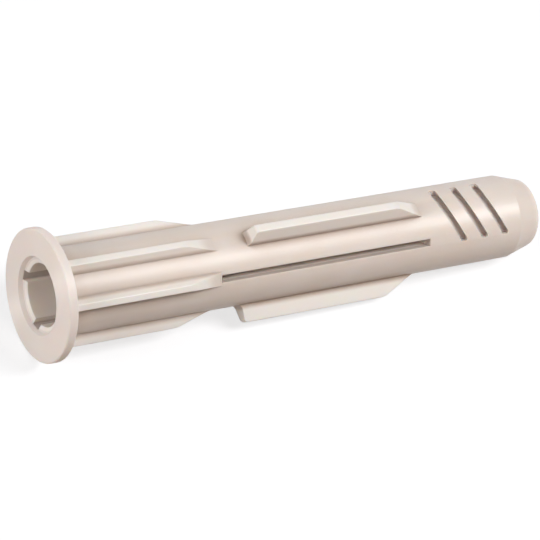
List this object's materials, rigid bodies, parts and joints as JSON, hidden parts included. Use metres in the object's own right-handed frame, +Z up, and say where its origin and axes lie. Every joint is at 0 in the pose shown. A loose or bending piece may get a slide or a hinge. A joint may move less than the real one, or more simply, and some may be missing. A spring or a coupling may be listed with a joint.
{
  "type": "wall plug",
  "caption": "Round plastic wall plug with a thin collar, neck ribs, side wings, expansion slots, a stepped screw bore and slanted nose grooves.",
  "frame": {"origin": "on the plug's axis at the collar's underside, which is the plane of the wall that the plug sits in", "axes": "+X along the plug's axis from the mouth to the nose, +Z up as the plug lies on a floor on its collar and nose, with one wing 14 degrees from straight up"},
  "size_m": [0.0529, 0.0122, 0.0122],
  "materials": {
    "nylon": "satin moulded nylon, natural cream"
  },
  "bodies": {
    "root": {"plug_body": "nylon"}
  },
  "joints": []
}
